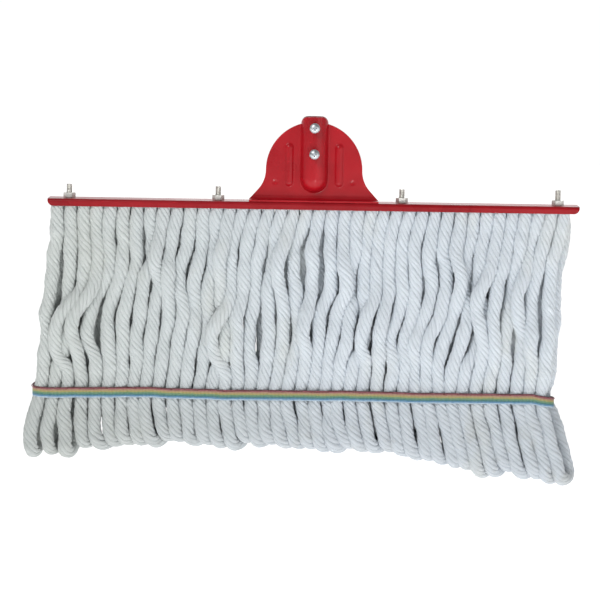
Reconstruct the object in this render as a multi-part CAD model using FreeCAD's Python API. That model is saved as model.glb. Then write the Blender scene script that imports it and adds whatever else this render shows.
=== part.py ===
"""String mop head: a pressed socket bracket on a clamp channel, with forty looped cords held by a strip.

Millimetres. +Z is up, out of the handle socket, +X runs along the channel and -Y is the front.
The origin lies on the socket's axis, where its straight bore meets its round bottom.
"""

import FreeCAD, Part
import math
import os

# ---- pressed sheet and channel ------------------------------------------------------------------------------
sheet = 1.5                     # thickness of all pressed sheet
channel_length = 500.0
channel_width = 28.0
channel_depth = 7.0             # web's top to the mouth
channel_bend = 3.0              # outside radius of the two long bends
channel_corner = 5.5            # rounded lower corners at the channel's ends
web_hole_gap = 0.5              # radial, round each stud

# ---- socket bracket: two mirrored plates ---------------------------------------------------------------------
bore_radius = 11.25             # takes a 22 mm handle
bore_height = 21.6              # bore's bottom over the web
bell_radius = 45.5
bell_height = 29.5              # the bell's centre over the web
tongue_rise = 4.8               # tongue's top over the bell's top
tongue_corner = 6.0
foot_half_width = 61.0
foot_depth = 12.5
foot_bend = 4.0                 # inside radius where the plate turns out into its foot
socket_fillet = 2.5
bore_edge = 1.2                 # rounding of the bore's two seams
rib_offset = 23.5
rib_low = 18.0                  # centres of the rib's round ends, over the web
rib_high = 50.5
rib_rise = 2.0
rib_half_width = 4.0
weld_offset = 36.5              # spot-weld dimples
weld_height = 18.0
weld_radius = 3.0
weld_depth = 0.4

# ---- handle screws ---------------------------------------------------------------------------------------------
screw_heights = (69.9, 45.5)    # over the web: upper, lower
screw_radius = 2.4
screw_length = 7.0              # under the head
screw_head_radius = 4.75
screw_head_height = 3.6
screw_fit = 0.05                # radial, in its hole
recess_depth = 1.9
recess_width = 1.3
recess_half_span = 2.6

# ---- clamp strip, studs and nuts ---------------------------------------------------------------------------------
strip_width = 12.0
strip_thickness = 3.0
strip_short = 8.0               # how far the strip stops short of each end of the channel
squeezed = 2.5                  # squeezed yarn between the strip and the web
stud_radius = 3.0
outer_stud_inset = 19.5         # from each end of the channel
inner_studs = (-90.0, 83.25)    # from the channel's middle
nut_flats = 10.0
nut_height = 5.0
nut_fit = 0.05                  # radial, on its stud
stud_rises = (8.0, 8.0, 8.0, 9.6)   # over the nuts, left to right

# ---- yarn -----------------------------------------------------------------------------------------------------------
loop_count = 40
yarn_margin = 8.0               # from the outer loop's side to the channel's end
loop_gap = 0.9                  # between neighbours at the mouth
layer_gap = 3.6                 # between the front and rear strands at the mouth
swing_gap = 0.5                 # between the turning yarn and what it hangs from
fold_turns = 1.0                # fold radius at the bottom, in rope diameters
bend_turns = 6.0                # radius of the slight bend at the tail band, in rope diameters
yarn_drop = 231.0               # the middle loops' length below the mouth
drops = ((-1.0, 1.053), (-0.54, 0.978), (0.0, 1.0), (0.37, 1.018), (0.65, 1.08), (1.0, 1.124))
band_rise = 60.0                # the middle loops' length below the band's top edge
band_drop = yarn_drop - band_rise    # mouth to the band's top edge
band_pitch = 0.992              # loop pitch at the band, as a share of that at the mouth
band_shift = -16.7              # how far the yarn leans sideways by the band
foot_slopes = ((-1.0, -0.20), (-0.82, -0.03), (0.0, 0.10), (1.0, 0.25))   # sideways, under the band

# ---- tail band ---------------------------------------------------------------------------------------------------------
band_height = 10.0
band_thickness = 1.2
band_gap = 0.3                  # strands to the band's faces
band_end_gap = 3.6              # outer strands to the band's turned ends
stitch_length = 4.0
stitch_size = 0.6

# ---- derived ---------------------------------------------------------------------------------------------------------
socket_radius = bore_radius + sheet
web_top = -bore_height
web_low = web_top - sheet
mouth = web_top - channel_depth
bell_top = bell_height + bell_radius
tongue_top = bell_top + tongue_rise
loop_pitch = (channel_length - 2 * yarn_margin) / loop_count
rope_radius = (loop_pitch - loop_gap) / 2
strand_y = rope_radius + layer_gap / 2
fold_radius = 2 * rope_radius * fold_turns
bend_radius = 2 * rope_radius * bend_turns
hinge_drop = strand_y + rope_radius + 0.8
hinge_z = mouth - hinge_drop
strip_top = web_low - squeezed
strip_low = strip_top - strip_thickness
outer_stud = channel_length / 2 - outer_stud_inset
stud_places = (-outer_stud, *inner_studs, outer_stud)

V = FreeCAD.Vector
UP = V(0, 0, 1)
BACK = V(0, 1, 0)
ALONG = V(1, 0, 0)


def box(x0, x1, y0, y1, z0, z1):
    """A box between two corners."""
    return Part.makeBox(x1 - x0, y1 - y0, z1 - z0, V(x0, y0, z0))


def rod(radius, start, end):
    """A cylinder from one point to another."""
    return Part.makeCylinder(radius, (end - start).Length, start, end - start)


def capsule(radius, start, end):
    """A rod with round ends."""
    return rod(radius, start, end).fuse([Part.makeSphere(radius, start), Part.makeSphere(radius, end)])


def arc(start, middle, end):
    return Part.Arc(start, middle, end).toShape()


def line(start, end):
    return Part.LineSegment(start, end).toShape()


def prism(edges, direction):
    """Closed edges swept along a vector."""
    return Part.Face(Part.Wire(Part.__sortEdges__(edges))).extrude(direction)


def save(name, shape):
    """Writes a node, and stops if it isn't sound."""
    if not shape.isValid() or shape.Volume <= 0:
        raise ValueError(name + " is not a sound solid")
    shape.exportStep("parts/" + name + ".step")


# ---- socket bracket -----------------------------------------------------------------------------------------------
def flare():
    """The concave run from the foot up to the bell's widest point: where it starts to curve, its middle and its end."""
    radius = bell_height - sheet
    centre = V(bell_radius + radius, 0, bell_height)
    low = V(foot_half_width, 0, sheet)
    reach = (low - centre).Length
    down = (low - centre).normalize()
    inward = V(down.z, 0, -down.x)
    begins = centre + down * (radius**2 / reach) + inward * (radius * math.sqrt(reach**2 - radius**2) / reach)
    ends = V(bell_radius, 0, bell_height)
    middle = centre + ((begins - centre).normalize() + (ends - centre).normalize()).normalize() * radius
    return begins, middle, ends


def half_outline():
    """The plate's right-hand edges seen from the front, from the foot's corner to the tongue's middle."""
    begins, middle, ends = flare()
    bell = V(0, 0, bell_height)
    low = V(foot_half_width, 0, sheet)
    meets = V(socket_radius, 0, bell_height + math.sqrt(bell_radius**2 - socket_radius**2))
    high = max(meets.z + 0.2, tongue_top - tongue_corner)
    corner = tongue_top - high
    over = V(socket_radius - corner, 0, tongue_top)
    knee = V(socket_radius - corner, 0, high) + V(1, 0, 1).normalize() * corner
    side = ((ends - bell).normalize() + (meets - bell).normalize()).normalize()
    return [
        line(V(0, 0, 0), V(foot_half_width, 0, 0)),
        line(V(foot_half_width, 0, 0), low),
        line(low, begins),
        arc(begins, middle, ends),
        arc(ends, bell + side * bell_radius, meets),
        line(meets, V(socket_radius, 0, high)),
        arc(V(socket_radius, 0, high), knee, over),
        line(over, V(0, 0, tongue_top)),
    ]


def on_face(edge, y):
    """Is an edge wholly on the plane at this y?"""
    return all(abs(p.y - y) < 1e-4 for p in edge.discretize(5))


def seam_edges(shape, y, low):
    """The edges on one face of the sheet where a pressed form begins, above the foot's bend."""
    chosen = []
    for edge in [e for e in shape.Edges if not e.Degenerated]:
        points = edge.discretize(7)
        inside = all(low < p.z < tongue_top + 3 and abs(p.x) < rib_offset + 12 for p in points)
        if on_face(edge, y) and inside:
            chosen.append(edge)
    return chosen


def pressed_plate():
    """The front plate about the web's top: foot, bend, sheet, half socket and two ribs."""
    turn = sheet + foot_bend
    top = tongue_top + 4
    slope = math.sqrt(0.5)
    side = [
        line(V(0, 0, top), V(0, -sheet, top)),
        line(V(0, -sheet, top), V(0, -sheet, turn)),
        arc(V(0, -sheet, turn), V(0, -turn + foot_bend * slope, turn - foot_bend * slope), V(0, -turn, sheet)),
        line(V(0, -turn, sheet), V(0, -foot_depth, sheet)),
        line(V(0, -foot_depth, sheet), V(0, -foot_depth, 0)),
        line(V(0, -foot_depth, 0), V(0, -turn, 0)),
        arc(V(0, -turn, 0), V(0, -turn * (1 - slope), turn * (1 - slope)), V(0, 0, turn)),
        line(V(0, 0, turn), V(0, 0, top)),
    ]
    plate = prism(side, V(2 * foot_half_width + 4, 0, 0))
    plate.translate(V(-foot_half_width - 2, 0, 0))
    front = box(-80, 80, -60, 0, -10, top + 20)
    seat = V(0, 0, bore_height)
    mid_y = rib_rise + sheet
    curve = (rib_half_width**2 + rib_rise**2) / (2 * rib_rise)
    spine = -mid_y + curve
    forms = [capsule(socket_radius, seat, V(0, 0, top + 5))]
    hollows = [capsule(bore_radius, seat, V(0, 0, top + 25))]
    for x in (-rib_offset, rib_offset):
        forms.append(capsule(curve, V(x, spine, rib_low), V(x, spine, rib_high)))
        hollows.append(capsule(curve - sheet, V(x, spine, rib_low), V(x, spine, rib_high)))
    for form in forms:
        plate = plate.fuse(form.common(front))
    plate = plate.common(box(-80, 80, -60, 0, -10, top)).removeSplitter()
    plate = plate.makeFillet(socket_fillet * 0.8, seam_edges(plate, -sheet, turn + 0.2))
    for hollow in hollows:
        plate = plate.cut(hollow)
    plate = plate.makeFillet(bore_edge, seam_edges(plate, 0, turn + 0.2))
    edges = half_outline()
    mirrored = [e.mirror(V(0, 0, 0), ALONG) for e in edges]
    outline = prism(edges + mirrored, V(0, 60, 0))
    outline.translate(V(0, -50, 0))
    return plate.common(outline)


def dimple(x):
    """A shallow spot-weld dent in the plate's front face."""
    ball = (weld_radius**2 + weld_depth**2) / (2 * weld_depth)
    return Part.makeSphere(ball, V(x, -sheet - ball + weld_depth, weld_height))


def make_bracket():
    """The front plate with the handle screws' holes, and the rear plate."""
    plate = pressed_plate()
    for x in (-weld_offset, weld_offset):
        plate = plate.cut(dimple(x))
    rear = plate.mirror(V(0, 0, 0), BACK)
    hole = screw_radius + screw_fit
    for height in screw_heights:
        plate = plate.cut(rod(hole, V(0, -socket_radius - 5, height), V(0, 0, height)))
    for name, shape in (("front_plate", plate), ("rear_plate", rear)):
        shape.translate(V(0, 0, web_top))
        save(name, shape)


# ---- clamp channel ------------------------------------------------------------------------------------------------
def arch(half_width, low, high, radius):
    """A bar's cross-section with two rounded upper corners, swept along the channel."""
    slope = radius * (1 - math.sqrt(0.5))
    edges = [
        line(V(0, -half_width, low), V(0, half_width, low)),
        line(V(0, half_width, low), V(0, half_width, high - radius)),
        arc(V(0, half_width, high - radius), V(0, half_width - slope, high - slope), V(0, half_width - radius, high)),
        line(V(0, half_width - radius, high), V(0, -half_width + radius, high)),
        arc(V(0, -half_width + radius, high), V(0, -half_width + slope, high - slope),
            V(0, -half_width, high - radius)),
        line(V(0, -half_width, high - radius), V(0, -half_width, low)),
    ]
    bar = prism(edges, V(channel_length, 0, 0))
    bar.translate(V(-channel_length / 2, 0, 0))
    return bar


def make_channel():
    """The channel, its mouth down, with the lower corners of its ends rounded."""
    half = channel_width / 2
    shell = arch(half, mouth, web_top, channel_bend)
    inner = arch(half - sheet, mouth - 5, web_low, channel_bend - sheet)
    channel = shell.cut(inner)
    r = channel_corner
    for side in (-1, 1):
        end = side * channel_length / 2
        square = box(min(end, end - side * r), max(end, end - side * r), -half - 1, half + 1, mouth - 1, mouth + r)
        round_end = rod(r, V(end - side * r, -half - 2, mouth + r), V(end - side * r, half + 2, mouth + r))
        channel = channel.cut(square.cut(round_end))
    for x in stud_places:
        channel = channel.cut(rod(stud_radius + web_hole_gap, V(x, 0, mouth), V(x, 0, web_top + 5)))
    save("clamp_channel", channel)


# ---- clamp strip, studs and nuts -------------------------------------------------------------------------------------
def make_strip():
    """The strip that the loops pass over, with a hole for each stud."""
    half = channel_length / 2 - strip_short
    strip = box(-half, half, -strip_width / 2, strip_width / 2, strip_low, strip_top)
    strip = strip.makeChamfer(0.8, [e for e in strip.Edges if abs(e.tangentAt(e.FirstParameter).x) > 0.99])
    for x in stud_places:
        strip = strip.cut(rod(stud_radius, V(x, 0, strip_low - 1), V(x, 0, strip_top + 1)))
    save("clamp_strip", strip)


def make_studs():
    """Studs pressed into the strip. Each has a chamfered tip."""
    for number, (x, rise) in enumerate(zip(stud_places, stud_rises), 1):
        tip = web_top + nut_height + rise
        stud = rod(stud_radius, V(x, 0, strip_low), V(x, 0, tip))
        rim = [e for e in stud.Edges if all(abs(p.z - tip) < 1e-4 for p in e.discretize(5))]
        save("clamp_stud_%d" % number, stud.makeChamfer(0.7, rim))


def make_nuts():
    """Hexagon nuts, corners chamfered above and below, a flat to the front."""
    corner = nut_flats / math.sqrt(3)
    points = [V(corner * math.cos(math.radians(a)), corner * math.sin(math.radians(a)), 0)
              for a in range(0, 361, 60)]
    hexagon = Part.Face(Part.makePolygon(points)).extrude(V(0, 0, nut_height))
    slant = (corner - nut_flats / 2 + 0.15) * math.tan(math.radians(30))
    reach = corner + 0.15
    flat = nut_flats / 2 - 0.1
    profile = [V(0, 0, 0), V(flat, 0, 0), V(reach, 0, slant), V(reach, 0, nut_height - slant),
               V(flat, 0, nut_height), V(0, 0, nut_height), V(0, 0, 0)]
    turned = Part.Face(Part.makePolygon(profile)).revolve(V(0, 0, 0), UP, 360)
    nut = hexagon.common(turned).cut(rod(stud_radius + nut_fit, V(0, 0, -1), V(0, 0, nut_height + 1)))
    for number, x in enumerate(stud_places, 1):
        placed = nut.copy()
        placed.translate(V(x, 0, web_top))
        save("clamp_nut_%d" % number, placed)


# ---- handle screws ----------------------------------------------------------------------------------------------------
def make_handle_screws():
    """Pan-head screws with cross recesses, started in their holes so that their tips stop at the bore's wall."""
    head = bore_radius + screw_length
    crown = screw_head_height
    rim = crown * 0.45
    side = [
        line(V(0, 0, 0), V(screw_head_radius, 0, 0)),
        line(V(screw_head_radius, 0, 0), V(screw_head_radius, 0, rim)),
        arc(V(screw_head_radius, 0, rim), V(screw_head_radius * 0.68, 0, crown * 0.86), V(0, 0, crown)),
        line(V(0, 0, crown), V(0, 0, 0)),
    ]
    dome = Part.Face(Part.Wire(side)).revolve(V(0, 0, 0), UP, 360)
    for turn in (0, 90):
        slot = wedge_slot()
        slot.rotate(V(0, 0, 0), UP, turn)
        dome = dome.cut(slot)
    shank = rod(screw_radius, V(0, 0, -screw_length), V(0, 0, 0))
    point = [e for e in shank.Edges if all(abs(p.z + screw_length) < 1e-4 for p in e.discretize(5))]
    screw = dome.fuse(shank.makeChamfer(0.9, point)).removeSplitter()
    screw.rotate(V(0, 0, 0), ALONG, 90)
    screw.translate(V(0, -head, web_top))
    for name, height in zip(("handle_screw_upper", "handle_screw_lower"), screw_heights):
        placed = screw.copy()
        placed.translate(V(0, 0, height))
        save(name, placed)


def wedge_slot():
    """One arm pair of the cross recess: wide at the crown, narrow at its floor."""
    top = screw_head_height + 1
    floor = screw_head_height - recess_depth
    outline = [V(-recess_half_span, 0, top), V(recess_half_span, 0, top), V(recess_half_span * 0.4, 0, floor),
               V(-recess_half_span * 0.4, 0, floor), V(-recess_half_span, 0, top)]
    slot = Part.Face(Part.makePolygon(outline)).extrude(V(0, recess_width, 0))
    slot.translate(V(0, -recess_width / 2, 0))
    return slot


# ---- yarn ----------------------------------------------------------------------------------------------------------------
def make_header():
    """The squeezed middle of each loop, over the strip and down both its sides to the mouth."""
    outside = channel_width / 2 - sheet - 0.3
    shell = arch(outside, mouth, web_low, 2.5)
    over = arch(strip_width / 2 + 0.1, mouth - 1, strip_top, 0.3)
    bent = shell.cut(over)
    pieces = []
    for number in range(loop_count):
        x = (number - loop_count / 2) * loop_pitch
        piece = bent.common(box(x + 0.1, x + loop_pitch - 0.1, -20, 20, mouth - 5, web_top + 5))
        for place in stud_places:
            if abs(place - x - loop_pitch / 2) < loop_pitch / 2 + stud_radius + 0.3:
                piece = piece.cut(rod(stud_radius + 0.3, V(place, 0, mouth - 1), V(place, 0, web_top + 1)))
        pieces.append(piece)
    save("yarn_header", Part.makeCompound(pieces))


def share(table, at):
    """Straight-line reading of a table of (place, value) pairs."""
    for (a, u), (b, v) in zip(table, table[1:]):
        if at <= b:
            return u + (v - u) * (at - a) / (b - a)
    return table[-1][1]


def loop_points(number):
    """The front strand's three corners: at the mouth, at the band, and where the fold begins."""
    place = number - (loop_count - 1) / 2
    band_z = mouth - band_drop - band_height / 2
    end = 2 * place / (loop_count - 1)
    drop = yarn_drop * share(drops, end)
    first = V(place * loop_pitch, -strand_y, mouth + 1)
    second = V(place * loop_pitch * band_pitch + band_shift, -fold_radius, band_z)
    low = mouth - drop + rope_radius + fold_radius
    third = V(second.x + share(foot_slopes, end) * (band_z - low), -fold_radius, low)
    return first, second, third


def strand_edges(first, second, third):
    """Two straight runs with a tangent arc of the bend radius between them."""
    before = (second - first).normalize()
    after = (third - second).normalize()
    half = before.getAngle(after) / 2
    reach = bend_radius * math.tan(half)
    start = second - before * reach
    end = second + after * reach
    inward = (after - before).normalize()
    centre = second + inward * (bend_radius / math.cos(half))
    middle = centre - inward * bend_radius
    return [line(first, start), arc(start, middle, end), line(end, third)]


def make_loops():
    """The loops as plain tubes: down the front, folded at the bottom and up the back."""
    trim = box(-400, 400, -60, 60, hinge_z, mouth + 40)
    round_top = rod(hinge_drop - swing_gap, V(-401, 0, hinge_z), V(401, 0, hinge_z))
    trim = trim.cut(round_top)
    lengths = []
    for number in range(loop_count):
        first, second, third = loop_points(number)
        front = strand_edges(first, second, third)
        rear = [e.mirror(V(0, 0, 0), BACK) for e in front]
        down = (third - second).normalize()
        low = V(third.x, 0, third.z) + down * fold_radius
        fold = arc(third, low, V(third.x, fold_radius, third.z))
        wire = Part.Wire(Part.__sortEdges__(front + [fold] + rear))
        heading = (second - first).normalize()
        ring = Part.Wire([Part.Circle(first, heading, rope_radius).toShape()])
        tube = wire.makePipeShell([ring], True, False)
        lengths.append(wire.Length)
        save("yarn_loop_%02d" % (number + 1), tube.cut(trim))
    print("rope diameter %.2f, fold radius %.2f, bend radius %.1f" % (2 * rope_radius, fold_radius, bend_radius))
    print("loop lengths %.0f to %.0f" % (min(lengths), max(lengths)))


# ---- tail band -----------------------------------------------------------------------------------------------------------
def ring_prism(half_depth, margin, low, high):
    """A rounded block round all the strands at the band: its ends follow the outer strands."""
    reach = (loop_count - 1) / 2 * loop_pitch * band_pitch + margin
    block = box(band_shift - reach, band_shift + reach, -half_depth, half_depth, low, high)
    upright = [e for e in block.Edges if abs(e.tangentAt(e.FirstParameter).z) > 0.99]
    return block.makeFillet(min(margin, half_depth) - 0.05, upright)


def make_band():
    """The stitched band, a closed strap round the front and rear strands."""
    high = mouth - band_drop
    low = high - band_height
    inner_y = fold_radius + rope_radius + band_gap
    inner_x = rope_radius + band_end_gap
    outer = ring_prism(inner_y + band_thickness, inner_x + band_thickness, low, high)
    inner = ring_prism(inner_y, inner_x, low - 1, high + 1)
    save("tail_band", outer.cut(inner))
    face = inner_y + band_thickness
    stitches = []
    for number in range(loop_count):
        x = (number - (loop_count - 1) / 2) * loop_pitch * band_pitch + band_shift
        for y in (-face - stitch_size, face):
            stitches.append(box(x - stitch_length / 2, x + stitch_length / 2, y, y + stitch_size,
                                high - 1.4 - stitch_size, high - 1.4))
    save("band_stitching", Part.makeCompound(stitches))


os.makedirs("parts", exist_ok=True)
make_bracket()
make_channel()
make_strip()
make_studs()
make_nuts()
make_handle_screws()
make_header()
make_loops()
make_band()
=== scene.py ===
"""String mop head: twisted cotton cords hung from an enamelled clamp channel.

A striped tape is sewn round them.
"""

import math

import bmesh
import bpy
import numpy as np
from mathutils import Matrix, Vector, noise


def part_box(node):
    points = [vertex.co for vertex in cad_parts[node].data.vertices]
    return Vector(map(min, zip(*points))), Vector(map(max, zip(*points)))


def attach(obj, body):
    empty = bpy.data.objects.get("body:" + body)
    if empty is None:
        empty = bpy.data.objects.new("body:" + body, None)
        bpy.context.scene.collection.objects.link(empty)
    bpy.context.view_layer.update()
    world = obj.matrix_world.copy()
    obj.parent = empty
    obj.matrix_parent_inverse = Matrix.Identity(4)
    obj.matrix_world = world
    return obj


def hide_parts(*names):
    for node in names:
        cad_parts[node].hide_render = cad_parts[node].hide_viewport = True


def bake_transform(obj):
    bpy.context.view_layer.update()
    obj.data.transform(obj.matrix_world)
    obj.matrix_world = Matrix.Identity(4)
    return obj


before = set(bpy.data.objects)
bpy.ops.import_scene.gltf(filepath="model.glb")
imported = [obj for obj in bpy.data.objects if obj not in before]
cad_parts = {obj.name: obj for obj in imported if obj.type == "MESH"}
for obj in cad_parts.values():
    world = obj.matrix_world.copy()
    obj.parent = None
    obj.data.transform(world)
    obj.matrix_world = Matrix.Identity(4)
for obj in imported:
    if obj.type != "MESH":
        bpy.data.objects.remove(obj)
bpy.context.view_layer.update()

bl_info = {
    "name": "String mop head",
    "version": (1, 0, 0),
    "blender": (4, 5, 0),
    "location": "View3D > Sidebar > Mop",
    "description": "Builds the cords, tail tape, hardware and finishes of a string mop head",
    "category": "Object",
}

MM = 0.001

# Places that come from the frame, in metres.
CHANNEL_LOW, CHANNEL_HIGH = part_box("clamp_channel")
MOUTH = CHANNEL_LOW[2]
CHANNEL_LENGTH = CHANNEL_HIGH[0] - CHANNEL_LOW[0]

# The cords' route, as the CAD source gives it, in millimetres.
LOOP_COUNT = 40
YARN_MARGIN = 8.0
LOOP_PITCH = (CHANNEL_LENGTH / MM - 2 * YARN_MARGIN) / LOOP_COUNT
LOOP_GAP = 0.9
ROPE_RADIUS = (LOOP_PITCH - LOOP_GAP) / 2
STRAND_Y = ROPE_RADIUS + 1.8
FOLD_RADIUS = 2 * ROPE_RADIUS
YARN_DROP = 231.0
DROPS = ((-1.0, 1.053), (-0.54, 0.978), (0.0, 1.0), (0.37, 1.018), (0.65, 1.08), (1.0, 1.124))
BAND_RISE = 60.0
BAND_DROP = YARN_DROP - BAND_RISE
BAND_HEIGHT = 10.0
BAND_PITCH = 0.992
BAND_SHIFT = -16.7
FOOT_SLOPES = ((-1.0, -0.20), (-0.82, -0.03), (0.0, 0.10), (1.0, 0.25))


# ---- settings -------------------------------------------------------------------------------------
class MopYarnSettings(bpy.types.PropertyGroup):
    """Sizes of the cords and the tape."""

    plies: bpy.props.IntProperty(
        name="Plies", description="Yarns twisted into one cord", default=7, min=3, max=8)
    lay: bpy.props.FloatProperty(
        name="Lay", description="Length of one full turn of a ply", default=0.041, unit="LENGTH")
    bulk: bpy.props.FloatProperty(
        name="Bulk", description="Radius of a cord hanging free, a little over its pressed radius",
        default=0.0068, unit="LENGTH")
    wander: bpy.props.FloatProperty(
        name="Wander", description="How far a cord strays sideways", default=0.0065, unit="LENGTH")
    tape_thickness: bpy.props.FloatProperty(
        name="Tape thickness", description="Thickness of the woven tape", default=0.0009, unit="LENGTH")


class MopFinishSettings(bpy.types.PropertyGroup):
    """Colours of the finishes."""

    enamel: bpy.props.FloatVectorProperty(
        name="Enamel", description="Paint of the channel and the bracket", subtype="COLOR",
        default=(0.40, 0.005, 0.012))
    cotton: bpy.props.FloatVectorProperty(
        name="Cotton", description="Bleached cotton of the cords", subtype="COLOR",
        default=(0.70, 0.755, 0.81))
    zinc: bpy.props.FloatVectorProperty(
        name="Zinc", description="Plating of studs, nuts and screws", subtype="COLOR",
        default=(0.78, 0.77, 0.73))


def yarn_settings():
    return bpy.context.scene.mop_yarn


def finish_settings():
    return bpy.context.scene.mop_finish


# ---- materials ------------------------------------------------------------------------------------
class Shader:
    """A material and short ways to add nodes to it."""

    def __init__(self, name):
        self.material = bpy.data.materials.new(name)
        self.material.use_nodes = True
        self.tree = self.material.node_tree
        self.surface = self.tree.nodes["Principled BSDF"]

    def add(self, kind, inputs=None, **settings):
        node = self.tree.nodes.new(kind)
        for key, value in settings.items():
            setattr(node, key, value)
        for key, value in (inputs or {}).items():
            self.feed(value, node.inputs[key])
        return node

    def feed(self, value, socket):
        if isinstance(value, bpy.types.NodeSocket):
            self.tree.links.new(value, socket)
        else:
            socket.default_value = value

    def set(self, **values):
        for key, value in values.items():
            self.feed(value, self.surface.inputs[key.replace("_", " ")])

    def place(self, output="Object"):
        return self.add("ShaderNodeTexCoord").outputs[output]

    def stretch(self, vector, scale, turn=(0, 0, 0)):
        inputs = {"Vector": vector, "Scale": scale, "Rotation": turn}
        return self.add("ShaderNodeMapping", inputs).outputs["Vector"]

    def noise(self, vector, scale, detail=4.0, rough=0.5):
        inputs = {"Vector": vector, "Scale": scale, "Detail": detail, "Roughness": rough}
        return self.add("ShaderNodeTexNoise", inputs).outputs["Fac"]

    def spread(self, value, low, high, to_low=0.0, to_high=1.0):
        inputs = {"Value": value, "From Min": low, "From Max": high, "To Min": to_low, "To Max": to_high}
        return self.add("ShaderNodeMapRange", inputs, clamp=True).outputs["Result"]

    def mix(self, factor, first, second, blend="MIX"):
        node = self.add("ShaderNodeMix", data_type="RGBA", blend_type=blend)
        self.feed(factor, node.inputs[0])
        self.feed(first, node.inputs[6])
        self.feed(second, node.inputs[7])
        return node.outputs[2]

    def math(self, operation, first, second=0.0):
        return self.add("ShaderNodeMath", {0: first, 1: second}, operation=operation).outputs[0]

    def bump(self, height, strength, distance, under=None):
        inputs = {"Height": height, "Strength": strength, "Distance": distance}
        if under is not None:
            inputs["Normal"] = under
        return self.add("ShaderNodeBump", inputs).outputs["Normal"]


def rgba(colour, share=1.0):
    return (colour[0] * share, colour[1] * share, colour[2] * share, 1.0)


def enamel_material(name="red_enamel", depth=1.0):
    """Glossy paint on pressed steel: a faint orange peel, uneven depth of colour and dull rubbed patches."""
    red = [part * depth for part in finish_settings().enamel]
    s = Shader(name)
    at = s.place()
    broad = s.noise(at, 28.0, 3.0)
    fine = s.noise(at, 420.0, 2.0)
    specks = s.spread(s.noise(at, 900.0, 2.0, 0.6), 0.70, 0.78)
    colour = s.mix(s.spread(broad, 0.3, 0.7), rgba(red, 0.82), rgba(red, 1.12))
    colour = s.mix(s.math("MULTIPLY", specks, 0.5), colour, rgba((0.20, 0.012, 0.012)))
    s.set(Base_Color=colour, Roughness=s.spread(broad, 0.35, 0.75, 0.26, 0.38), Specular_IOR_Level=0.25)
    s.set(Coat_Weight=0.12, Coat_Roughness=0.10)
    peel = s.bump(fine, 0.10, 0.0004)
    s.set(Normal=s.bump(s.noise(at, 60.0, 2.0), 0.25, 0.0012, peel))
    return s.material


def zinc_material(name="zinc_plate", tint=(1.0, 1.0, 1.0), rough=0.26):
    """Zinc plating, a little cloudy."""
    base = finish_settings().zinc
    colour = (base[0] * tint[0], base[1] * tint[1], base[2] * tint[2])
    s = Shader(name)
    at = s.place()
    cloud = s.noise(at, 350.0, 4.0, 0.6)
    s.set(Base_Color=s.mix(s.spread(cloud, 0.35, 0.7), rgba(colour, 0.72), rgba(colour, 1.08)))
    s.set(Metallic=1.0, Roughness=s.spread(cloud, 0.3, 0.7, rough, rough + 0.18))
    s.set(Normal=s.bump(s.noise(at, 1400.0, 3.0), 0.12, 0.0002))
    return s.material


def cotton_material():
    """Spun cotton: fibres along each ply, cool and warm patches, a little dirt low down and an even
    darkening towards the bottom.
    """
    base = finish_settings().cotton
    s = Shader("cotton_yarn")
    at = s.place()
    along = s.stretch(s.place("UV"), (9.0, 70.0, 1.0))
    fibre = s.noise(along, 3.0, 5.0, 0.65)
    lint = s.noise(at, 700.0, 4.0, 0.7)
    patch = s.noise(s.stretch(at, (1.0, 1.0, 0.45)), 22.0, 3.0)
    colour = s.mix(s.spread(fibre, 0.25, 0.75), rgba(base, 0.86), rgba(base, 1.06))
    colour = s.mix(s.spread(patch, 0.52, 0.72, 0.0, 0.55), colour, rgba((0.70, 0.72, 0.68)))
    split = s.add("ShaderNodeSeparateXYZ", {"Vector": at})
    left = s.spread(split.outputs["X"], 0.02, -0.22, 0.0, 0.75)
    colour = s.mix(left, colour, rgba((0.565, 0.595, 0.56)))
    low = s.spread(split.outputs["Z"], -0.19, -0.29)
    stain = s.spread(s.noise(at, 30.0, 4.0, 0.6), 0.55, 0.72)
    colour = s.mix(s.math("MULTIPLY", s.math("MULTIPLY", low, stain), 0.5), colour, rgba((0.42, 0.41, 0.33)))
    # Evenly darker towards the bottom of the cords: a plain grey multiply by height, apart from the stain
    # above.
    below = s.spread(split.outputs["Z"], -0.19, -0.225)
    colour = s.mix(below, colour, rgba((0.83, 0.83, 0.83)), "MULTIPLY")
    s.set(Base_Color=colour, Roughness=0.92, Specular_IOR_Level=0.2, Sheen_Weight=0.25, Sheen_Roughness=0.6)
    s.set(Subsurface_Weight=0.12, Subsurface_Radius=(0.004, 0.004, 0.004), Subsurface_Scale=0.5)
    tufts = s.bump(lint, 0.35, 0.0006)
    s.set(Normal=s.bump(fibre, 0.6, 0.0008, tufts))
    return s.material


# Stripes of the tape from its top edge down: where each ends, as a share of the width, and its colour.
STRIPES = (
    (0.19, (0.15, 0.022, 0.028)),
    (0.33, (0.44, 0.24, 0.15)),
    (0.47, (0.36, 0.33, 0.10)),
    (0.62, (0.12, 0.27, 0.13)),
    (0.76, (0.035, 0.17, 0.18)),
    (0.89, (0.09, 0.24, 0.42)),
    (1.0, (0.42, 0.56, 0.68)),
)


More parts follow.
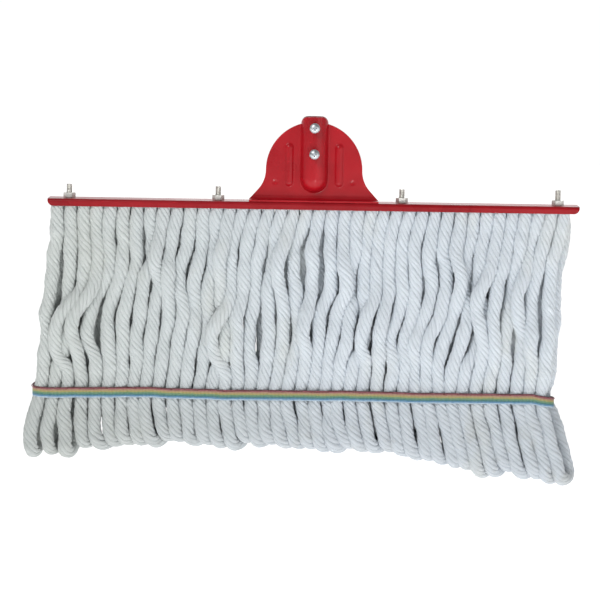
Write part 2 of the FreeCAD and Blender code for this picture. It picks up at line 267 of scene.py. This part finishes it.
def tape_material():
    """Ribbed weave with lengthwise stripes, and painted shade in the grooves between the ribs.

    U runs along the tape in metres and V across it, from its lower edge.
    """
    s = Shader("striped_tape")
    split = s.add("ShaderNodeSeparateXYZ", {"Vector": s.place("UV")})
    across = s.math("SUBTRACT", 1.0, split.outputs["Y"])
    wobble = s.noise(s.stretch(s.place("UV"), (260.0, 3.0, 1.0)), 1.0, 2.0)
    across = s.math("ADD", across, s.spread(wobble, 0.2, 0.8, -0.035, 0.035))
    ramp = s.add("ShaderNodeValToRGB", {"Fac": across})
    ramp.color_ramp.interpolation = "LINEAR"
    elements = ramp.color_ramp.elements
    start = 0.0
    stops = []
    for end, colour in STRIPES:
        stops += [(start + 0.03, colour), (end - 0.02, colour)]
        start = end
    elements[0].position, elements[0].color = stops[0][0], rgba(stops[0][1])
    elements[1].position, elements[1].color = stops[-1][0], rgba(stops[-1][1])
    for position, colour in stops[1:-1]:
        elements.new(position).color = rgba(colour)
    ribs = s.math("SINE", s.math("MULTIPLY", split.outputs["X"], 2 * math.pi / 0.0013))
    threads = s.math("SINE", s.math("MULTIPLY", split.outputs["Y"], 2 * math.pi * 16))
    fuzz = s.noise(s.place(), 1500.0, 3.0)
    # Painted shade: the weave's colour is darkened in the grooves between the ribs, where they dip.
    gaps = s.spread(ribs, -1.0, 0.2, 0.45, 0.0)
    colour = s.mix(gaps, ramp.outputs["Color"], rgba((0.05, 0.04, 0.04)), "MULTIPLY")
    colour = s.mix(s.spread(fuzz, 0.4, 0.8, 0.0, 0.3), colour, rgba((0.6, 0.6, 0.58)))
    s.set(Base_Color=colour, Roughness=0.85, Sheen_Weight=0.2, Specular_IOR_Level=0.25)
    height = s.math("MULTIPLY", s.math("ADD", ribs, 1.0), s.spread(threads, -1, 1, 0.6, 1.0))
    s.set(Normal=s.bump(height, 0.6, 0.0002))
    return s.material


def thread_material():
    """Sewing thread, twisted, in pinkish white."""
    s = Shader("sewing_thread")
    at = s.place()
    twist = s.noise(s.stretch(at, (1.0, 1.0, 1.0), (0, 0.6, 0)), 1800.0, 2.0)
    s.set(Base_Color=s.mix(s.spread(twist, 0.3, 0.7), rgba((0.20, 0.04, 0.06)), rgba((0.38, 0.12, 0.15))))
    s.set(Roughness=0.6, Sheen_Weight=0.2, Normal=s.bump(twist, 0.5, 0.0001))
    return s.material


def paper_material():
    """Pale, even ground."""
    s = Shader("pale_ground")
    grain = s.noise(s.place(), 6.0, 3.0)
    white = rgba((0.96, 0.96, 0.96))
    s.set(Base_Color=s.mix(s.spread(grain, 0.3, 0.7), rgba((0.93, 0.93, 0.93)), white), Roughness=0.9)
    s.set(Emission_Color=rgba((1.0, 1.0, 1.0)), Emission_Strength=0.7)
    return s.material


# ---- helpers --------------------------------------------------------------------------------------
def link(obj):
    bpy.context.scene.collection.objects.link(obj)
    return obj


def paint(obj, material):
    """Gives an object one material in every slot."""
    if not obj.data.materials:
        obj.data.materials.append(material)
    for slot in obj.material_slots:
        slot.material = material
    return obj


def mesh_of(curve_object):
    """A curve's own mesh, with the curve thrown away."""
    bpy.context.view_layer.update()
    graph = bpy.context.evaluated_depsgraph_get()
    mesh = bpy.data.meshes.new_from_object(curve_object.evaluated_get(graph))
    data = curve_object.data
    bpy.data.objects.remove(curve_object)
    bpy.data.curves.remove(data)
    return mesh


def smooth(obj):
    for polygon in obj.data.polygons:
        polygon.use_smooth = True
    return obj


def spline_points(points, resolution=10, closed=False):
    """Points read along the smooth line whose control points are given."""
    curve = bpy.data.curves.new("route", "CURVE")
    curve.dimensions = "3D"
    curve.resolution_u = resolution
    spline = curve.splines.new("NURBS")
    spline.points.add(len(points) - 1)
    for point, place in zip(spline.points, points):
        point.co = (*place, 1.0)
    spline.order_u = 3
    spline.use_endpoint_u = not closed
    spline.use_cyclic_u = closed
    mesh = mesh_of(link(bpy.data.objects.new("route", curve)))
    places = np.array([v.co for v in mesh.vertices])
    bpy.data.meshes.remove(mesh)
    return places


def even(points, step):
    """The same line with evenly spaced points."""
    lengths = np.linalg.norm(np.diff(points, axis=0), axis=1)
    run = np.concatenate([[0.0], np.cumsum(lengths)])
    at = np.linspace(0.0, run[-1], max(2, int(round(run[-1] / step)) + 1))
    return np.stack([np.interp(at, run, points[:, i]) for i in range(3)], axis=1), run[-1]


def carried_frames(points):
    """Tangent, normal and binormal at each point, carried along without twisting."""
    tangents = np.gradient(points, axis=0)
    tangents /= np.linalg.norm(tangents, axis=1)[:, None]
    normal = np.array([0.0, -1.0, 0.0])
    normals = []
    for tangent in tangents:
        normal = normal - tangent * normal.dot(tangent)
        normal /= np.linalg.norm(normal)
        normals.append(normal)
    normals = np.array(normals)
    return tangents, normals, np.cross(tangents, normals)


def tubes(name, lines, radii, resolution=1):
    """One mesh of round tubes along several lines. Each line has a radius for each of its points."""
    curve = bpy.data.curves.new(name, "CURVE")
    curve.dimensions = "3D"
    curve.bevel_depth = 1.0
    curve.bevel_resolution = resolution
    curve.use_fill_caps = True
    for line, radius in zip(lines, radii):
        spline = curve.splines.new("POLY")
        spline.points.add(len(line) - 1)
        spline.points.foreach_set("co", np.column_stack([line, np.ones(len(line))]).ravel())
        spline.points.foreach_set("radius", np.asarray(radius, float))
    mesh = mesh_of(link(bpy.data.objects.new(name, curve)))
    mesh.name = name
    return smooth(link(bpy.data.objects.new(name, mesh)))


def share(table, at):
    """Straight-line reading of a table of (place, value) pairs."""
    return float(np.interp(at, [row[0] for row in table], [row[1] for row in table]))


# ---- cords ----------------------------------------------------------------------------------------
def loop_corners(number):
    """Millimetres: a front strand at the mouth, at the tape and where its fold begins."""
    place = number - (LOOP_COUNT - 1) / 2
    end = 2 * place / (LOOP_COUNT - 1)
    mouth = MOUTH / MM
    band_z = mouth - BAND_DROP - BAND_HEIGHT / 2
    low = mouth - YARN_DROP * share(DROPS, end) + ROPE_RADIUS + FOLD_RADIUS
    first = Vector((place * LOOP_PITCH, -STRAND_Y, mouth))
    second = Vector((place * LOOP_PITCH * BAND_PITCH + BAND_SHIFT, -FOLD_RADIUS, band_z))
    third = Vector((second.x + share(FOOT_SLOPES, end) * (band_z - low), -FOLD_RADIUS, low))
    return first, second, third


# Depths below the mouth at which the strands are laid, in millimetres.
DEPTHS = (0.0, 12.0, 25.0, 38.0, 51.0, 64.0, 77.0, 90.0, 103.0, 116.0, 129.0, 142.0, 154.0, 165.0, 176.0)

# How far a strand may lie from the middle plane: at most, opening under the mouth, closing to the tape.
FRONT_LIMIT = 17.0
MOUTH_SLOPE = 0.17
TAPE_SLOPE = 0.2
TAPE_CLOSED = 148.0

# How the strands settle: rounds, pull to the wanted place, evening down and across, push apart.
ROUNDS = 60
PULL = 0.18
EVEN_DOWN = 0.04
EVEN_ACROSS = 0.3
PUSH = 0.35
SQUEEZE = 1.8

# One cord: step along its route in metres, and its plies' distance and radius as shares of its own.
ROUTE_STEP = 0.0021
PLY_REACH = 0.66
PLY_RADIUS = 0.345

# Front strands that cross their neighbours: the loop, the depth of the crossing's middle, half its length,
# how far sideways and how far forwards it lies, in millimetres.
CROSSINGS = (
    (2, 122, 46, -15, 7), (3, 108, 50, -11, 6), (8, 34, 36, -9, 6), (9, 66, 34, -7, 5),
    (13, 38, 34, -8, 6), (14, 128, 46, -14, 7), (15, 118, 46, -7, 5), (18, 52, 30, -6, 5),
    (20, 118, 40, -8, 5), (22, 64, 34, 6, 4), (25, 112, 42, -10, 6), (26, 122, 36, -6, 5),
    (28, 146, 30, 8, 5), (31, 62, 38, 7, 4), (34, 96, 52, -12, 7), (35, 112, 48, -9, 6),
    (37, 84, 44, -8, 6), (38, 134, 36, -7, 6),
)


def crossing(number, depth):
    """Millimetres sideways and forwards that the crossings give a front strand at a depth."""
    aside, out = 0.0, 0.0
    for loop, middle, half, across, forward in CROSSINGS:
        if loop == number and abs(depth - middle) < half:
            swell = 0.5 + 0.5 * math.cos(math.pi * (depth - middle) / half)
            aside += across * swell
            out += forward * math.sqrt(swell)
    return aside, out


def wanted_places():
    """Where each strand would lie at each depth if nothing were in its way: strand, depth, then x and y."""
    wander = yarn_settings().wander / MM
    places = np.zeros((2 * LOOP_COUNT, len(DEPTHS), 2))
    for strand in range(2 * LOOP_COUNT):
        number, side = strand % LOOP_COUNT, -1 if strand < LOOP_COUNT else 1
        first, second, _ = loop_corners(number)
        spread = -5.5 * max(0.0, 1 - number / 11)
        for level, depth in enumerate(DEPTHS):
            base = first.lerp(second, depth / (first.z - second.z))
            hold = min(1.0, depth / 30) * min(1.0, 0.25 + (176 - depth) / 60)
            across = number + (0.5 if side > 0 else 0.0)
            together = noise.noise(Vector((across / 5.0, depth / 60, 3.7)))
            alone = noise.noise(Vector((number * 5.31, depth / 27, 11.3 * side)))
            depthwise = noise.noise(Vector((number * 3.77, depth / 36, 23.9 * side)))
            aside, out = crossing(number, depth) if side < 0 else (0.0, 0.0)
            half_step = 6.0 * min(1.0, depth / 25) if side > 0 else 0.0
            pull = 1 - 0.5 * min(1.0, depth / 30, max(0.0, 160 - depth) / 35) if side > 0 else 1.0
            x = base.x + spread + half_step + (together * 2.0 + alone * 0.9) * wander * hold + aside
            places[strand, level] = x, side * -base.y * pull + depthwise * 6.0 * hold - out
    return places


def settled_places():
    """The strands pushed apart, depth by depth, until they lie beside and over each other."""
    wanted = wanted_places()
    places = wanted.copy()
    apart = 2 * yarn_settings().bulk / MM - SQUEEZE
    loops = range(LOOP_COUNT)
    free = [np.array([n for n in loops if abs(crossing(n, depth)[0]) < 3]) for depth in DEPTHS]
    rear = np.arange(LOOP_COUNT, 2 * LOOP_COUNT)
    for _ in range(ROUNDS):
        places[:, 1:-1] += PULL * (wanted[:, 1:-1] - places[:, 1:-1])
        places[:, 1:-1] += EVEN_DOWN * (places[:, :-2] + places[:, 2:] - 2 * places[:, 1:-1])
        for level in range(1, len(DEPTHS) - 1):
            layer = places[:, level]
            for row in (free[level], rear):
                x = layer[row, 0]
                layer[row[1:-1], 0] += EVEN_ACROSS * ((x[2:] + x[:-2]) / 2 - x[1:-1])
            gaps = layer[:, None] - layer[None]
            distances = np.linalg.norm(gaps, axis=2) + np.eye(len(layer)) * 1e6
            push = np.clip(apart - distances, 0.0, None) / distances * PUSH
            layer += (gaps * push[:, :, None]).sum(axis=1)
            opening = STRAND_Y + DEPTHS[level] * MOUTH_SLOPE
            closing = FOLD_RADIUS + max(0.0, (TAPE_CLOSED - DEPTHS[level]) * TAPE_SLOPE)
            limit = min(FRONT_LIMIT, opening, closing)
            layer[:, 1] = np.clip(layer[:, 1], -limit, limit)
    return places


def loop_route(number, places):
    """Millimetres: the control points of one loop, down the front, round its fold and up the back."""
    first, second, third = loop_corners(number)
    end = 2 * (number - (LOOP_COUNT - 1) / 2) / (LOOP_COUNT - 1)
    low = noise.noise(Vector((number * 2.9, 7.1, 0.0))) * 9.0 + 1.0
    flare = 4.0 * max(0.0, 1 - number / 4)
    packed = min(1.0, 0.25 + number / 7)
    points = []
    for side in (-1, 1):
        row = places[number if side < 0 else number + LOOP_COUNT]
        strand = [(row[0, 0], row[0, 1], first.z + 4.6)]
        strand += [(x, y, first.z - max(depth, 5.0)) for (x, y), depth in zip(row, DEPTHS)]
        shift = row[-1, 0] - second.x
        for part in (0.36, 0.78):
            base = second.lerp(third, part)
            bend = noise.noise(Vector((number * 0.8, part * 3, 9.1 * side))) * (5.0 - abs(end))
            turn = (2.0 if side < 0 else 10.0 * packed) * part
            x = base.x + shift + bend + turn - flare * part
            strand.append((x, side * FOLD_RADIUS + bend * 0.5, base.z))
        corner = third.z - FOLD_RADIUS + low
        turn = 4.0 if side < 0 else 13.0 * packed
        strand.append((third.x + shift * 0.7 + turn - flare, side * FOLD_RADIUS, corner))
        points += strand if side < 0 else strand[::-1]
    return [Vector(p) * MM for p in points]


def make_cord(number, places, material):
    """One cord: plies laid round the route, hung from the channel."""
    settings = yarn_settings()
    path, length = even(spline_points(loop_route(number, places)), ROUTE_STEP)
    run = np.linspace(0.0, length, len(path))
    depth = MOUTH - path[:, 2]
    loose = np.clip(depth / 0.03, 0.0, 1.0) * (1 - np.exp(-((depth - BAND_DROP * MM) / 0.014) ** 2))
    for axis, give in ((0, 0.0019), (1, 0.0012)):
        stray = [noise.noise(Vector((number * 3.3, s * 42, 6.0 * axis))) for s in run]
        path[:, axis] += give * loose * stray
    _, normals, binormals = carried_frames(path)
    phase = number * 2.399
    swell = np.array([1 + 0.16 * noise.noise(Vector((number * 1.7, s * 52, 0.0))) for s in run])
    tighten = np.clip((path[:, 2] - MOUTH + 0.010) / 0.010, 0.0, 1.0)
    taped = np.exp(-((path[:, 2] - MOUTH) / MM + BAND_DROP + BAND_HEIGHT / 2) ** 2 / 90.0)
    core = settings.bulk * swell * (1 - 0.12 * tighten) * (1 - 0.11 * taped)
    lines, radii = [], []
    for ply in range(settings.plies):
        lean = np.array([0.22 * noise.noise(Vector((number * 4.1, ply * 9.7, s * 22))) for s in run])
        angle = phase + 2 * math.pi * ply / settings.plies - 2 * math.pi * run / settings.lay + lean
        reach = core * PLY_REACH
        aside = normals * (np.cos(angle) * reach)[:, None]
        lines.append(path + aside + binormals * (np.sin(angle) * reach)[:, None])
        fat = np.array([1 + 0.26 * noise.noise(Vector((number * 2.3, ply * 5.9, s * 120))) for s in run])
        radii.append(core * PLY_RADIUS * fat)
    name = "cord_%02d" % (number + 1)
    cord = paint(tubes(name, lines, radii), material)
    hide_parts("yarn_loop_%02d" % (number + 1))
    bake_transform(cord)
    return cord


class MOP_OT_cords(bpy.types.Operator):
    """Lay the forty twisted cords"""

    bl_idname = "mop.cords"
    bl_label = "Cords"

    def execute(self, context):
        material = cotton_material()
        places = settled_places()
        for number in range(LOOP_COUNT):
            make_cord(number, places, material)
        paint(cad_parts["yarn_header"], material)
        return {"FINISHED"}


# ---- tail tape ------------------------------------------------------------------------------------
def tape_loop(places):
    """Millimetres: control points of the tape's middle line, once round the cords."""
    mouth = MOUTH / MM
    middle = mouth - BAND_DROP - BAND_HEIGHT / 2
    reach = (LOOP_COUNT - 1) / 2 * LOOP_PITCH * BAND_PITCH
    face = FOLD_RADIUS + yarn_settings().bulk / MM - 0.3
    points = []
    count = LOOP_COUNT * 2 - 1
    for side in (-1, 1):
        row = []
        for step in range(count):
            x = -reach + 2 * reach * step / (count - 1)
            over = 0.25 if step % 2 == 0 else -0.35
            sway = 1.9 * noise.noise(Vector((x / 95, 4.0 * side, 1.0)))
            sway += 0.5 * noise.noise(Vector((x / 18, side, 5.0)))
            if side > 0:
                drop = -6.0 * max(0.0, x / reach - 0.93) / 0.07
            else:
                drop = -1.5 * max(0.0, x / reach - 0.97) / 0.03
            row.append((x + BAND_SHIFT, side * (face + over), middle + sway + drop))
        points.append(row)
    front, back = points
    outer = yarn_settings().bulk / MM + 0.9
    left, right = places[:, -1, 0].min() - outer, places[:, -1, 0].max() + outer
    front = [p for p in front if left + outer < p[0] < right - outer]
    back = [p for p in back if left + outer < p[0] < right - outer]
    near = face * 0.9
    turn_right = [(right - 1, -near, middle - 3.0), (right + 0.6, 0, middle - 5.0)]
    turn_right.append((right - 1, near, middle - 6.5))
    turn_left = [(left + 1, near, middle), (left - 0.6, 0, middle), (left + 1, -near, middle)]
    return [Vector(p) * MM for p in front + turn_right + back[::-1] + turn_left]


class MOP_OT_tape(bpy.types.Operator):
    """Wrap the striped tail tape round the cords"""

    bl_idname = "mop.tape"
    bl_label = "Tail tape"

    def execute(self, context):
        path = spline_points(tape_loop(settled_places()), 4, closed=True)
        shape = bmesh.new()
        ring = [shape.verts.new(p) for p in path]
        edges = [shape.edges.new((a, b)) for a, b in zip(ring, ring[1:] + ring[:1])]
        rows = 6
        height = BAND_HEIGHT * MM
        bmesh.ops.translate(shape, vec=(0, 0, -height / 2), verts=ring)
        for _ in range(rows):
            made = bmesh.ops.extrude_edge_only(shape, edges=edges)["geom"]
            edges = [g for g in made if isinstance(g, bmesh.types.BMEdge)]
            verts = [g for g in made if isinstance(g, bmesh.types.BMVert)]
            bmesh.ops.translate(shape, vec=(0, 0, height / rows), verts=verts)
        bmesh.ops.recalc_face_normals(shape, faces=shape.faces)
        mesh = bpy.data.meshes.new("tail_tape")
        shape.to_mesh(mesh)
        shape.free()
        runs = np.concatenate([[0.0], np.cumsum(np.linalg.norm(np.diff(path, axis=0), axis=1))])
        count = len(path)
        layer = mesh.uv_layers.new(name="UVMap")
        for polygon in mesh.polygons:
            columns = [mesh.loops[i].vertex_index % count for i in polygon.loop_indices]
            closing = max(columns) - min(columns) > 1
            for i, column in zip(polygon.loop_indices, columns):
                row = mesh.loops[i].vertex_index // count
                along = runs[-1] + 0.001 if closing and column == 0 else runs[column]
                layer.data[i].uv = (along, row / rows)
        tape = smooth(link(bpy.data.objects.new("tail_tape", mesh)))
        thick = tape.modifiers.new("Thickness", "SOLIDIFY")
        thick.thickness = yarn_settings().tape_thickness
        thick.offset = 1.0
        paint(tape, tape_material())
        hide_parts("tail_band")
        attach(tape, "yarn")
        make_stitches(path)
        return {"FINISHED"}


def make_stitches(path):
    """A row of long thread stitches along the tape's upper edge, front and back."""
    lines, radii = [], []
    step = len(path) / (2 * LOOP_COUNT)
    for number in range(2 * LOOP_COUNT):
        middle = int(number * step) % len(path)
        span = [path[(middle + k) % len(path)] for k in range(-4, 5)]
        line = []
        for k, point in enumerate(span):
            outward = np.array([0.0, math.copysign(1.0, point[1]), 0.0])
            if abs(point[1]) < 0.012:
                outward = np.array([math.copysign(1.0, point[0]), 0.0, 0.0])
            lift = 0.0012 + 0.0006 * math.sin(math.pi * k / 8)
            if k in (0, 8):
                lift = 0.0002
            line.append(point + outward * lift + np.array([0, 0, 0.0040 + 0.0003 * math.sin(number * 1.9)]))
        lines.append(np.array(line))
        radii.append(np.full(len(line), 0.00038))
    stitches = paint(tubes("tape_stitches", lines, radii), thread_material())
    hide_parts("band_stitching")
    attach(stitches, "yarn")


# ---- bracket, channel and hardware ----------------------------------------------------------------
class MOP_OT_enamel(bpy.types.Operator):
    """Paint the bracket and the channel"""

    bl_idname = "mop.enamel"
    bl_label = "Enamel"

    def execute(self, context):
        material = enamel_material()
        for node in ("front_plate", "rear_plate"):
            paint(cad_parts[node], material)
        paint(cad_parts["clamp_channel"], enamel_material("channel_enamel", 0.76))
        return {"FINISHED"}


def thread_body(radius, pitch, low, high):
    """A screw thread between two heights: one turn's outline carried up a helix, with a chamfered core."""
    shape = bmesh.new()
    depth = 0.61 * pitch
    outline = [(radius - depth, -pitch / 2), (radius - 0.05 * pitch, -pitch * 0.06),
               (radius - 0.05 * pitch, pitch * 0.06), (radius - depth, pitch / 2)]
    verts = [shape.verts.new((r, 0, low + z)) for r, z in outline]
    edges = [shape.edges.new(pair) for pair in zip(verts, verts[1:])]
    turns = int((high - low) / pitch) + 1
    bmesh.ops.spin(shape, geom=verts + edges, cent=(0, 0, 0), axis=(0, 0, 1), dvec=(0, 0, pitch / 20),
                   angle=2 * math.pi * turns, steps=20 * turns)
    bmesh.ops.remove_doubles(shape, verts=shape.verts, dist=pitch * 0.02)
    geometry = shape.verts[:] + shape.edges[:] + shape.faces[:]
    bmesh.ops.bisect_plane(shape, geom=geometry, plane_co=(0, 0, high - 0.4 * pitch),
                           plane_no=(0, 0, 1), clear_outer=True)
    core = bmesh.ops.create_cone(shape, cap_ends=True, segments=40, radius1=radius - depth * 0.9,
                                 radius2=radius - depth * 0.9, depth=high - low)["verts"]
    bmesh.ops.translate(shape, verts=core, vec=(0, 0, (high + low) / 2))
    rim = [e for e in shape.edges if e.verts[0] in core and all(abs(v.co.z - high) < 1e-7 for v in e.verts)]
    bmesh.ops.bevel(shape, geom=rim, offset=0.35 * pitch, affect="EDGES", segments=2, profile=0.5,
                    material=-1)
    bmesh.ops.recalc_face_normals(shape, faces=shape.faces)
    return shape


class MOP_OT_hardware(bpy.types.Operator):
    """Thread the studs and plate the nuts and screws"""

    bl_idname = "mop.hardware"
    bl_label = "Studs, nuts and screws"

    def execute(self, context):
        zinc = zinc_material()
        for number in range(1, 5):
            node = "clamp_stud_%d" % number
            low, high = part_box(node)
            shape = thread_body(0.003, 0.001, low[2], high[2])
            bmesh.ops.translate(shape, verts=shape.verts, vec=((low[0] + high[0]) / 2, 0, 0))
            mesh = bpy.data.meshes.new("threaded_stud_%d" % number)
            shape.to_mesh(mesh)
            shape.free()
            stud = paint(link(bpy.data.objects.new(mesh.name, mesh)), zinc)
            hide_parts(node)
            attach(stud, "clamp")
            paint(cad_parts["clamp_nut_%d" % number], zinc)
        paint(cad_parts["clamp_strip"], zinc)
        steel = zinc_material("screw_steel", (0.86, 0.92, 1.02), 0.30)
        for node in ("handle_screw_upper", "handle_screw_lower"):
            paint(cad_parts[node], steel)
        return {"FINISHED"}


# ---- stage ----------------------------------------------------------------------------------------
def area_light(name, place, target, size, power, colour=(1.0, 1.0, 1.0)):
    data = bpy.data.lights.new(name, "AREA")
    data.shape = "SQUARE"
    data.size = size
    data.energy = power
    data.color = colour
    lamp = link(bpy.data.objects.new(name, data))
    lamp.location = place
    lamp.rotation_euler = (Vector(target) - Vector(place)).to_track_quat("-Z", "Y").to_euler()


class MOP_OT_stage(bpy.types.Operator):
    """Set up the ground, lights and camera"""

    bl_idname = "mop.stage"
    bl_label = "Stage"

    def execute(self, context):
        scene = context.scene
        shape = bmesh.new()
        bmesh.ops.create_grid(shape, x_segments=1, y_segments=1, size=12.0)
        bmesh.ops.translate(shape, verts=shape.verts, vec=(0, 0, -0.80))
        mesh = bpy.data.meshes.new("ground")
        shape.to_mesh(mesh)
        shape.free()
        ground = paint(link(bpy.data.objects.new("ground", mesh)), paper_material())
        aim = Vector((-0.0113, 0.0, -0.1156))
        elevation, distance, view_width = math.radians(7.0), 2.4, 0.5693
        camera_data = bpy.data.cameras.new("camera")
        camera_data.lens = 36.0 * distance / view_width
        camera_data.clip_end = 60.0
        camera = link(bpy.data.objects.new("camera", camera_data))
        away = Vector((0, -math.cos(elevation), math.sin(elevation)))
        look = (-away).to_track_quat("-Z", "Y").to_matrix().to_4x4()
        roll = Matrix.Rotation(math.radians(0.94), 4, "Z")
        camera.matrix_world = Matrix.Translation(aim + away * distance) @ look @ roll
        scene.camera = camera
        area_light("key", (-1.1, -1.9, 1.5), (0, 0, -0.1), 0.9, 27.0)
        area_light("fill", (1.7, -1.8, 0.1), (0, 0, -0.1), 1.8, 6.0)
        area_light("low", (0.25, -1.7, -0.70), (0, 0, -0.05), 0.20, 4.0)
        area_light("back", (0.4, 1.8, 1.2), (0, 0, -0.1), 1.6, 12.0)
        world = bpy.data.worlds.new("studio")
        world.use_nodes = True
        tree = world.node_tree
        direction = tree.nodes.new("ShaderNodeTexCoord").outputs["Generated"]
        split = tree.nodes.new("ShaderNodeSeparateXYZ")
        tree.links.new(direction, split.inputs[0])
        ramp = tree.nodes.new("ShaderNodeMapRange")
        for key, value in (("From Min", 0.15), ("From Max", 0.75), ("To Min", 0.24), ("To Max", 1.02)):
            ramp.inputs[key].default_value = value
        tree.links.new(split.outputs["Y"], ramp.inputs["Value"])
        tree.links.new(ramp.outputs["Result"], tree.nodes["Background"].inputs["Strength"])
        tree.nodes["Background"].inputs["Color"].default_value = (1.0, 1.0, 1.0, 1.0)
        scene.world = world
        scene.view_settings.view_transform = "Standard"
        return {"FINISHED"}


# ---- panel and start ------------------------------------------------------------------------------
OPERATORS = (MOP_OT_stage, MOP_OT_enamel, MOP_OT_hardware, MOP_OT_cords, MOP_OT_tape)


class MOP_PT_panel(bpy.types.Panel):
    """The mop head's settings and its build steps"""

    bl_idname = "MOP_PT_panel"
    bl_label = "String mop head"
    bl_space_type = "VIEW_3D"
    bl_region_type = "UI"
    bl_category = "Mop"

    def draw(self, context):
        for settings in (context.scene.mop_yarn, context.scene.mop_finish):
            for name in settings.__annotations__:
                self.layout.prop(settings, name)
        for operator in OPERATORS:
            self.layout.operator(operator.bl_idname)


CLASSES = (MopYarnSettings, MopFinishSettings, *OPERATORS, MOP_PT_panel)


def register():
    for cls in CLASSES:
        bpy.utils.register_class(cls)
    bpy.types.Scene.mop_yarn = bpy.props.PointerProperty(type=MopYarnSettings)
    bpy.types.Scene.mop_finish = bpy.props.PointerProperty(type=MopFinishSettings)


def unregister():
    del bpy.types.Scene.mop_finish
    del bpy.types.Scene.mop_yarn
    for cls in reversed(CLASSES):
        bpy.utils.unregister_class(cls)


def main():
    register()
    bpy.ops.mop.stage()
    bpy.ops.mop.enamel()
    bpy.ops.mop.hardware()
    bpy.ops.mop.cords()
    bpy.ops.mop.tape()


if __name__ == "__main__":
    main()
